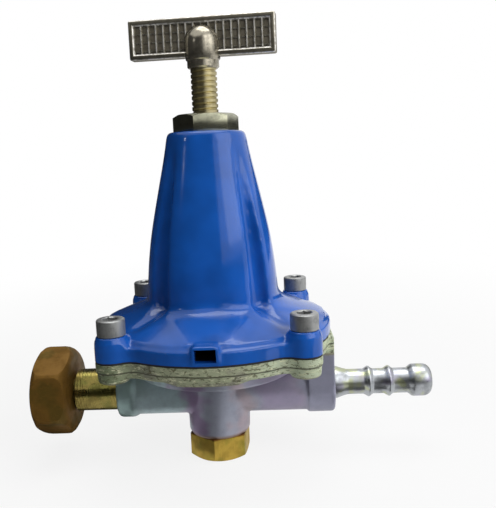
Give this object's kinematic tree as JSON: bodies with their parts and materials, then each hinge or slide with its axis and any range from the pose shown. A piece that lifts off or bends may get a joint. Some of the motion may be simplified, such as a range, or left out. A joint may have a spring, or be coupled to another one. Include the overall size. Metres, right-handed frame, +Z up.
{
  "type": "gas pressure regulator",
  "caption": "Adjustable high-pressure gas regulator: T-handle screw on a lobed spring bonnet, zinc casting with a hexagon inlet union and a hose barb outlet.",
  "frame": {"origin": "centre of the bottom plug's flat face, which the part stands on", "axes": "+Z up along the adjusting screw; -X towards the inlet union, +X towards the hose barb; -Y towards the vent window's side"},
  "size_m": [0.1581, 0.093, 0.1713],
  "materials": {
    "blue_enamel": "glossy enamel",
    "zinc_casting": "die-cast zinc alloy, passivated, slightly rough",
    "nickel_casting": "cast, nickel-plated, satin",
    "plug_brass": "machined hexagon bar, oiled",
    "nut_brass": "tumbled, satin",
    "turned_brass": "turned",
    "bush_steel": "zinc-plated, yellow passivated, bright",
    "yellow_plated_steel": "zinc-plated, yellow passivated",
    "plated_steel": "zinc-plated",
    "screw_steel": "zinc-plated, dull",
    "barb_steel": "zinc-plated, bright",
    "spring_steel": "phosphated spring wire",
    "seal_rubber": "matt",
    "sintered_bronze": "sintered, grainy",
    "fibre": "pressed fibre, matt"
  },
  "bodies": {
    "housing": {"body_casting": "zinc_casting", "bottom_plug": "plug_brass", "plug_seal": "seal_rubber", "valve_seat": "turned_brass", "seat_seal": "seal_rubber", "diaphragm": "seal_rubber", "bonnet": "blue_enamel", "bonnet_bush": "bush_steel", "cap_screw_front_left": "screw_steel", "cap_screw_front_right": "screw_steel", "cap_screw_rear_left": "screw_steel", "cap_screw_rear_right": "screw_steel", "inlet_adaptor": "plug_brass", "inlet_nipple": "turned_brass", "inlet_filter": "sintered_bronze", "inlet_washer": "fibre", "hose_barb": "barb_steel"},
    "valve": {"valve_poppet": "turned_brass", "valve_pad": "seal_rubber", "valve_spring": "spring_steel"},
    "diaphragm_stack": {"diaphragm_washer": "plated_steel", "diaphragm_plate": "plated_steel", "centre_bolt": "turned_brass", "centre_nut": "plated_steel"},
    "spring_seat": {"upper_spring_seat": "plated_steel", "main_spring": "spring_steel"},
    "adjuster": {"adjusting_screw": "yellow_plated_steel", "t_handle": "nickel_casting"},
    "union": {"union_nut": "nut_brass"}
  },
  "joints": [
    {"name": "diaphragm_travel", "type": "slide", "parent": "housing", "child": "diaphragm_stack", "axis": [0, 0, 1], "range_m": [-0.0008, 0.00095], "stiffness_N_per_m": 8500, "deforming": ["diaphragm"]},
    {"name": "valve_travel", "type": "slide", "parent": "housing", "child": "valve", "axis": [0, 0, 1], "range_m": [-0.0008, 0.00095], "deforming": ["valve_spring"]},
    {"name": "adjuster_travel", "type": "slide", "parent": "housing", "child": "spring_seat", "axis": [0, 0, 1], "range_m": [-0.0151, 0.0046], "deforming": ["main_spring"]},
    {"name": "adjuster_turn", "type": "hinge", "parent": "spring_seat", "child": "adjuster", "pos_m": [0, 0, 0.145], "axis": [0, 0, 1], "range_deg": [-2700, 810]},
    {"name": "union_turn", "type": "hinge", "parent": "housing", "child": "union", "pos_m": [-0.06515, 0, 0.0275], "axis": [1, 0, 0], "continuous": true}
  ],
  "couplings": [
    {"joint": "valve_travel", "follows": "diaphragm_travel", "ratio": 1},
    {"joint": "adjuster_travel", "follows": "adjuster_turn", "m_per_rad": 0.00031831}
  ]
}
